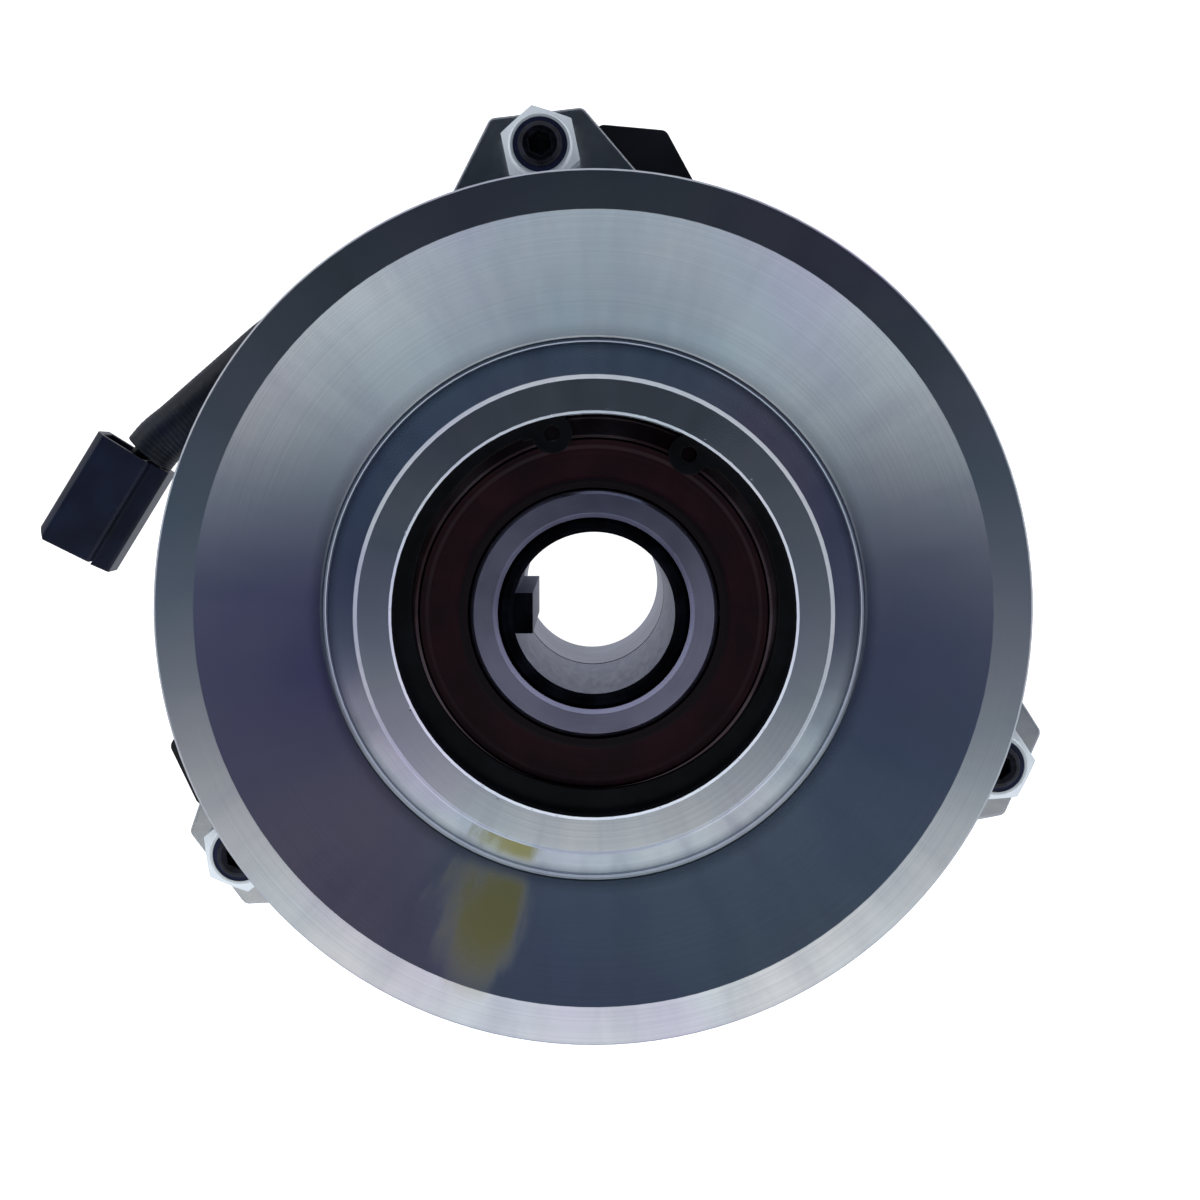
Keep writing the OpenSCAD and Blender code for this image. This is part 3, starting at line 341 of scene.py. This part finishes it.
# Coil. Copper wire wound in layers on a nylon former and potted in dark resin.
copper = Finish("enamelled_copper", Metallic=1.0)
radius, _, height = copper.round_place()
layers = copper.noise(copper.vector(radius * 2.0, 0.0, height * 2.0), 1.0)
copper.give(copper.shader, {
    "Base Color": copper.mix(layers, tone(150, 70, 30), tone(205, 120, 66)),
    "Roughness": layers * 0.2 + 0.2})
wire_pitch = 0.5
wave = (height * (2 * pi / wire_pitch)).maths("SINE")
copper.bump(wave, 0.00008)
dress(copper, "coil_winding")

former = Finish("natural_nylon")
milky = former.noise(former.place(), 200.0, 3.0)
former.give(former.shader, {
    "Base Color": former.mix(milky, tone(205, 198, 176), tone(228, 222, 204)),
    "Roughness": milky * 0.2 + 0.4})
former.bump(milky, 0.00002)
dress(former, "coil_former")

resin = Finish("potting_resin", Coat_Weight=0.6, Coat_Roughness=0.08)
swirl = resin.noise(resin.place(), 110.0, 5.0)
resin.give(resin.shader, {
    "Base Color": resin.mix(swirl.span(0.3, 0.7), tone(18, 17, 17), tone(52, 46, 42)),
    "Roughness": swirl * 0.3 + 0.2})
resin.bump(swirl, 0.00015)
dress(resin, "coil_resin")


# Bearings. Hardened rings ground to a fine grain round the axis, polished balls and pressed cages.
def turned(name, dark, light, roughness, lines=3.0, depth=0.000004, grain=0.5, edge=0.0):
    """Metal turned or ground round the axis: fine rings, each a little lighter or darker."""
    finish = Finish(name, Metallic=1.0, Anisotropic=grain)
    radius, turn, height = finish.round_place()
    rings = finish.noise(finish.vector(radius * lines, turn * 0.6, height * lines), 1.0, 3.0, 0.7)
    cloud = finish.noise(finish.place(), 70.0, 3.0)
    tinted = finish.mix(cloud.span(0.3, 0.7), dark, light)
    finish.give(finish.shader, {
        "Base Color": finish.mix(rings.span(0.35, 0.65) * 0.25, tinted, dark),
        "Roughness": rings * 0.12 + cloud * 0.1 + (roughness - 0.11)})
    finish.bump(rings, depth, edge)
    return finish


ground = turned("ground_steel", tone(150, 147, 164), tone(186, 184, 200), 0.34, lines=9.0, edge=0.15 * mm)
dress(ground, "field_bearing_outer_ring", "field_bearing_inner_ring")
race = turned("ground_race", tone(132, 130, 152), tone(166, 164, 188), 0.3, lines=9.0, edge=0.12 * mm)
dress(race, "pulley_bearing_inner_ring")
# The pulley bearing's outer ring is given a dark brown-black tone.
outer_race = turned("dark_outer_race", tone(46, 32, 34), tone(84, 74, 78), 0.24, lines=9.0, edge=0.12 * mm)
dress(outer_race, "pulley_bearing_outer_ring")

polished = Finish("polished_ball", Metallic=1.0)
haze = polished.noise(polished.place(), 500.0)
polished.give(polished.shader, {
    "Base Color": polished.mix(haze, tone(215, 215, 220), tone(190, 190, 198)),
    "Roughness": haze * 0.08 + 0.04})
polished.bump(haze, 0.000002)
dress(polished, "pulley_bearing_balls", "field_bearing_balls")
pressed = turned("pressed_cage", tone(130, 128, 126), tone(176, 174, 170), 0.4, lines=2.0, grain=0.0)
dress(pressed, "pulley_bearing_cage", "field_bearing_cage")

# Seals of the pulley bearing. Dark red-brown rubber, a little oily, with fine moulded rings.
brown = Finish("brown_seal", Specular_IOR_Level=0.2)
radius, _, _ = brown.round_place()
oily = brown.noise(brown.place(), 140.0, 3.0)
specks = brown.noise(brown.place(), 4200.0, 1.0).span(0.74, 0.8)
moulded = brown.noise(brown.vector(radius * 2.2, 0.0, 0.0), 1.0)
flat_part = brown.mix(oily.span(0.3, 0.7), tone(20, 4, 9), tone(32, 9, 15))
lip_r = 20.3
near_lip = radius.band(lip_r, 0.5, 0.5)
brown.give(brown.shader, {
    "Base Color": brown.mix(near_lip * 0.8 + specks * 0.3, flat_part, tone(8, 7, 9)),
    "Roughness": oily * 0.2 + 0.36})
brown.bump(moulded + specks * 0.3, 0.00004, 0.15 * mm)
dress(brown, "pulley_bearing_front_seal", "pulley_bearing_rear_seal")

# Hub, sleeve and rotor. The sleeve is one piece with its key: its end is coloured near black, and its
# bore is brushed bright along the axis. Hub and rotor are turned steel, with a slight stain from the air.
end_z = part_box("keyed_sleeve")[1][2] / mm
sleeve = Finish("keyed_steel", Metallic=1.0)
radius, turn, height = sleeve.round_place()
strokes = sleeve.noise(sleeve.vector(turn * 14.0, height * 0.2, radius * 2.0), 1.0, 3.0, 0.6)
blotch = sleeve.noise(sleeve.place(), 220.0, 4.0)
smear = sleeve.noise(sleeve.place(), 60.0, 3.0)
dark_end = sleeve.mix(blotch.span(0.3, 0.8), tone(8, 8, 12), tone(28, 29, 37))
bright = sleeve.mix(strokes * 0.6 + smear * 0.4, tone(96, 104, 134), tone(152, 152, 180))
bore_edge_r = 13.2
# The last 1.2 mm of the sleeve, the key's end included, is coloured near black.
at_end = height.span(end_z - 1.2, end_z - 0.62)
inside = radius.span(bore_edge_r, bore_edge_r + 0.1, 1.0, 0.0) * (1 - at_end)
sleeve.give(sleeve.shader, {
    "Base Color": sleeve.mix(inside, dark_end, bright),
    "Roughness": strokes * 0.2 + 0.28 + (1 - inside) * 0.12})
sleeve.bump(strokes * inside + blotch * 0.4, 0.00001, 0.2 * mm)
dress(sleeve, "keyed_sleeve")

steel = turned("turned_steel", tone(150, 148, 150), tone(186, 185, 190), 0.36, lines=4.0, depth=0.000006)
dress(steel, "rotor_disc", "armature")
hub_steel = turned("hub_steel", tone(112, 118, 142), tone(160, 160, 184), 0.36, lines=4.0, depth=0.000006)
dress(hub_steel, "rotor_hub")

# Rings. Stamped from spring steel and phosphated black, shiny where the stamp rounded their edges.
phosphate = Finish("black_phosphate", Metallic=0.2, Specular_IOR_Level=0.18)
crystals = phosphate.noise(phosphate.place(), 5200.0, 2.0)
cloud = phosphate.noise(phosphate.place(), 240.0, 3.0)
phosphate.give(phosphate.shader, {
    "Base Color": phosphate.mix(cloud.span(0.35, 0.75), tone(4, 5, 7), tone(12, 13, 17)),
    "Roughness": crystals * 0.2 + 0.26})
phosphate.bump(crystals, 0.00001, 0.3 * mm)
dress(phosphate, "snap_ring", "hub_retaining_ring")

# Pulley. Turned from steel and plated with zinc: a flat rim ring, a dish, and a boss with a sharp
# bevel. The plating has faint purple and blue tints, a painted shade in the corner round the boss and a
# yellow patch on the dish's -y side, and the boss has small nicks at its mouth. Its flank is turned finer
# than the dish, and the turning marks there lean its shine outwards by some 4 degrees.
zinc = Finish("turned_zinc", Metallic=1.0)
radius, turn, height = zinc.round_place()
rings = zinc.noise(zinc.vector(radius * 3.4, turn * 0.5, height * 3.4), 1.0, 4.0, 0.7)
fans = zinc.noise(zinc.vector(turn * 7.0, radius * 0.03, 0.0), 1.0, 4.0, 0.6)
cloud = zinc.noise(zinc.place(), 34.0, 3.0)
purple = zinc.noise(zinc.place(), 22.0, 2.0)
plating = zinc.mix(cloud.span(0.3, 0.7), tone(222, 232, 238), tone(236, 236, 240))
plating = zinc.mix(purple.span(0.48, 0.7) * 0.5, plating, tone(206, 190, 232))
plating = zinc.mix(fans.span(0.4, 0.75) * 0.25, plating, tone(170, 174, 196))

boss_root_r = 42.3
boss_root_z = 72.9
# Painted shade: the dish is darkened in the corner at the boss's root, fading out over some 3.7 mm.
painted_corner_shade = radius.span(boss_root_r + 0.3, boss_root_r + 3.7, 1.0, 0.0)
painted_corner_shade = painted_corner_shade * radius.span(boss_root_r - 0.5, boss_root_r)
plating = zinc.mix(painted_corner_shade * 0.65, plating, tone(96, 104, 120))
plating = zinc.mix(rings.span(0.35, 0.7) * 0.12, plating, tone(150, 156, 172))

dish_slope = 0.31
# A yellow patch on the dish's -y side, where the plating is also made less metallic.
above_dish = height - (radius - boss_root_r) * dish_slope - boss_root_z
in_dish = radius.span(43.0, 46.0) * above_dish.span(-1.18, -0.78)
off_side = (turn + fans * 0.3 + radians(101)) / radians(9)
off_middle = (radius - 50.5) / 15.0
yellow_patch = (off_side ** 2 + off_middle ** 2).span(0.0, 1.0, 0.85, 0.0) * in_dish

flank_middle_r = 39.6
flank_fineness = radius.band(flank_middle_r, 2.8, 0.3) * 0.6
zinc.give(zinc.shader, {
    "Base Color": zinc.mix(yellow_patch, plating, tone(160, 150, 54)),
    "Metallic": 1 - yellow_patch * 0.4,
    "Roughness": (rings * 0.06 + fans * 0.1 + cloud * 0.06 + 0.08) * (1 - flank_fineness)})

nicks = zinc.noise(zinc.vector(turn * 26.0, height * 1.2, radius * 1.2), 1.0, 2.0).span(0.66, 0.7)
mouth_r = 31.4
nick_depth = 8.0
nicked = nicks * radius.band(mouth_r, 0.35, 0.15) * nick_depth
mark_depth = 0.002
mark_lean = 0.086
boss_bevel = 0.7
flank_top_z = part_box("pulley")[1][2] / mm - boss_bevel
flank = (height.maths("MINIMUM", flank_top_z) - boss_root_z).maths("MAXIMUM", 0.0)
leaning = flank * radius.span(boss_root_r, boss_root_r + 0.4, 1.0, 0.0) * (mark_lean / mark_depth)
zinc.bump(rings - nicked - leaning, mark_depth * mm, 0.08 * mm, trued=True)
dress(zinc, "pulley")

# Leaf springs and rivets. Three bright spring strips and the rivets that hold their ends.
spring_steel = Finish("spring_steel", Metallic=1.0)
rolled = spring_steel.noise(spring_steel.place(), 380.0, 3.0)
spring_steel.give(spring_steel.shader, {
    "Base Color": spring_steel.mix(rolled, tone(164, 164, 170), tone(198, 198, 204)),
    "Roughness": rolled * 0.2 + 0.24})
spring_steel.bump(rolled, 0.00001, 0.15 * mm)
dress(spring_steel, "leaf_springs", "pulley_rivets", "armature_rivets")

# Brake plate. Deep-drawn steel with bright zinc, a soft spangle in the plating, fine drag marks of the
# press, and edges rounded by the die.
drawn = Finish("drawn_zinc", Metallic=1.0)
place = drawn.place()
spangle = drawn.node("TexVoronoi", {"Vector": place, "Scale": 420.0}, output="Distance")
drag = drawn.noise(place, 900.0, 3.0)
cloud = drawn.noise(place, 45.0, 4.0)
coat = drawn.mix(cloud.span(0.3, 0.7), tone(214, 218, 220), tone(234, 234, 236))
drawn.give(drawn.shader, {
    "Base Color": drawn.mix(spangle * 0.25, coat, tone(170, 172, 182)),
    "Roughness": drag * 0.08 + cloud * 0.08 + 0.12})
drawn.bump(drag + spangle * 0.4, 0.000004, 0.7 * mm)
dress(drawn, "brake_plate")

# Brake lining. Pressed friction material, speckled with brass and fibre.
lining = Finish("friction_lining")
chips = lining.node("TexVoronoi", {"Vector": lining.place(), "Scale": 1400.0}, output="Distance")
fleck = chips.span(0.12, 0.2, 1.0, 0.0)
lining.give(lining.shader, {
    "Base Color": lining.mix(fleck, tone(58, 52, 48), tone(140, 116, 74)),
    "Roughness": 0.9 - fleck * 0.4})
lining.bump(chips, 0.00006)
dress(lining, "brake_lining")

# Studs. Black-oxide M8 screws with a hex socket in the end. The thread runs up the whole shank as
# shallow rings.
studs = Finish("black_oxide", Metallic=0.7, Specular_IOR_Level=0.6)
_, _, height = studs.round_place()
thread_pitch = 1.25
thread = (height * (2 * pi / thread_pitch)).maths("SINE")
film = studs.noise(studs.place(), 600.0, 3.0)
studs.give(studs.shader, {
    "Base Color": studs.mix(film.span(0.3, 0.75), tone(10, 10, 14), tone(34, 35, 48)),
    "Roughness": film * 0.2 + 0.18})
studs.bump(film * 0.2 + thread, 0.00006, 0.25 * mm)
dress(studs, "brake_studs")

# Brake springs. Three coils of bright round wire on the studs, their ends closed.
spring_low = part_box("mounting_plate")[1][2]
spring_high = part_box("brake_springs")[1][2]
spring_r = 5.55 * mm
spring_wire_r = 0.65 * mm
spring_turns = 3.5
stud_r = 80.6 * mm
stud_turns = [96.7, -23.3, -143.3]
points_a_turn = 40
rise = spring_high - spring_low - 2 * spring_wire_r
closed_rise = 2 * spring_wire_r + 0.05 * mm
open_pitch = (rise - 2 * closed_rise) / (spring_turns - 2)
for number, stud_turn in enumerate(stud_turns, 1):
    stud = Vector((cos(radians(stud_turn)), sin(radians(stud_turn)), 0)) * stud_r
    coil = []
    for i in range(int(spring_turns * points_a_turn) + 1):
        t = i / points_a_turn
        if t < 1:
            climb = closed_rise * t
        elif t < spring_turns - 1:
            climb = closed_rise + open_pitch * (t - 1)
        else:
            climb = rise - closed_rise * (spring_turns - t)
        angle = radians(stud_turn) + 2 * pi * t
        coil.append(stud + Vector((spring_r * cos(angle), spring_r * sin(angle),
                                   spring_low + spring_wire_r + climb)))
    spring = fitted(f"brake_spring_{number}", swept(coil, lambda along: spring_wire_r, 12), spring_steel)
    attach(spring, "field")
    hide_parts("brake_springs")

# Lock nuts. Bright zinc hexagons with a round collar, and a ring of dark blue nylon crimped into it.
nut_zinc = Finish("bright_nut", Metallic=0.3)
haze = nut_zinc.noise(nut_zinc.place(), 420.0, 3.0)
nut_zinc.give(nut_zinc.shader, {
    "Base Color": nut_zinc.mix(haze, tone(224, 232, 236), tone(238, 242, 244)),
    "Roughness": haze * 0.15 + 0.14})
nut_zinc.bump(haze, 0.00001, 0.25 * mm)
dress(nut_zinc, "lock_nuts")

blue = Finish("blue_insert")
cut_marks = blue.noise(blue.place(), 900.0, 2.0)
blue.give(blue.shader, {
    "Base Color": blue.mix(cut_marks, tone(14, 20, 50), tone(34, 44, 84)),
    "Roughness": cut_marks * 0.3 + 0.3})
blue.bump(cut_marks, 0.00003)
dress(blue, "nut_inserts")

# Floor. A plain white light table, which leaves the background white and lights the bore from below.
table = Finish("white_table", Roughness=0.9, Emission_Color=(1.0, 1.0, 1.0, 1.0), Emission_Strength=1.1)
table.give(table.shader, {"Base Color": tone(205, 205, 206)})
half = 12.0
corners = [(-half, -half, 0), (half, -half, 0), (half, half, 0), (-half, half, 0)]
floor = fitted("floor", (corners, [(0, 1, 2, 3)]), table)
floor.location.z = -0.05 * mm
floor.visible_glossy = False


# Studio. A white tent all round, with the dark of the room in its middle, the darker camera in that,
# and a soft bright screen below them. Warm and purple things in the room tint the metal.
class Surround(Finish):
    """The world's look. Its places are in degrees from straight up, to the right and to the top."""

    def __init__(self):
        self.owner = bpy.data.worlds.new("studio")
        self.owner.use_nodes = True
        self.tree = self.owner.node_tree
        self.shader = self.tree.nodes["Background"]
        x, y, z = self.parts(self.node("TexCoord", {}, output="Generated"))
        heading = y.maths("ARCTAN2", x)
        self.away = z.maths("ARCCOSINE") * (180 / pi)
        self.right = self.away * heading.maths("COSINE")
        self.up = self.away * heading.maths("SINE")

    def patch(self, right, up, half_wide, half_high, inner, outer):
        """An oval patch that fades out from inner to outer times its size."""
        away = (((self.right - right) / half_wide) ** 2 + ((self.up - up) / half_high) ** 2) ** 0.5
        return away.span(inner, outer, 1.0, 0.0)


studio = Surround()
sky = studio.mix(studio.away.span(72.0, 98.0), (1.05, 1.1, 1.2, 1.0), (0.5, 0.52, 0.56, 1.0))
sky = studio.mix(studio.patch(0, 4, 58, 58, 0.82, 1.12), sky, tone(70, 82, 98))
sky = studio.mix(studio.patch(17, 12, 13, 11, 0.2, 1.3) * 0.6, sky, tone(92, 76, 90))
sky = studio.mix(studio.patch(30, -2, 14, 16, 0.3, 1.3) * 0.8, sky, tone(50, 44, 82))
sky = studio.mix(studio.patch(-30, -2, 14, 16, 0.3, 1.3) * 0.8, sky, tone(46, 48, 78))
sky = studio.mix(studio.patch(0, 7, 17, 12, 0.6, 1.15), sky, tone(34, 40, 46))
screen = studio.up.span(-14.5, -7.2, 1.0, 0.0) * studio.up.span(-50.0, -17.0, 0.1, 1.0)
screen = screen * studio.right.maths("ABSOLUTE").span(12.0, 27.0, 1.0, 0.0)
glow = studio.mix(studio.up.span(-32.0, -16.0), (0.38, 0.48, 0.54, 1.0), (0.92, 0.93, 0.92, 1.0))
sky = studio.mix(screen, sky, glow)
studio.give(studio.shader, {"Color": sky, "Strength": 1.0})
bpy.context.scene.world = studio.owner

# Key light. A large weak lamp from the lower left, which the metal doesn't mirror.
key = bpy.data.lights.new("key", "AREA")
key.energy = 4.0
key.size = 0.8
key_light = bpy.data.objects.new("key", key)
bpy.context.scene.collection.objects.link(key_light)
key_light.location = (-0.35, -0.45, 0.9)
key_light.rotation_euler = Vector((0.35, 0.45, -0.9)).to_track_quat("-Z", "Y").to_euler()
key_light.visible_glossy = False
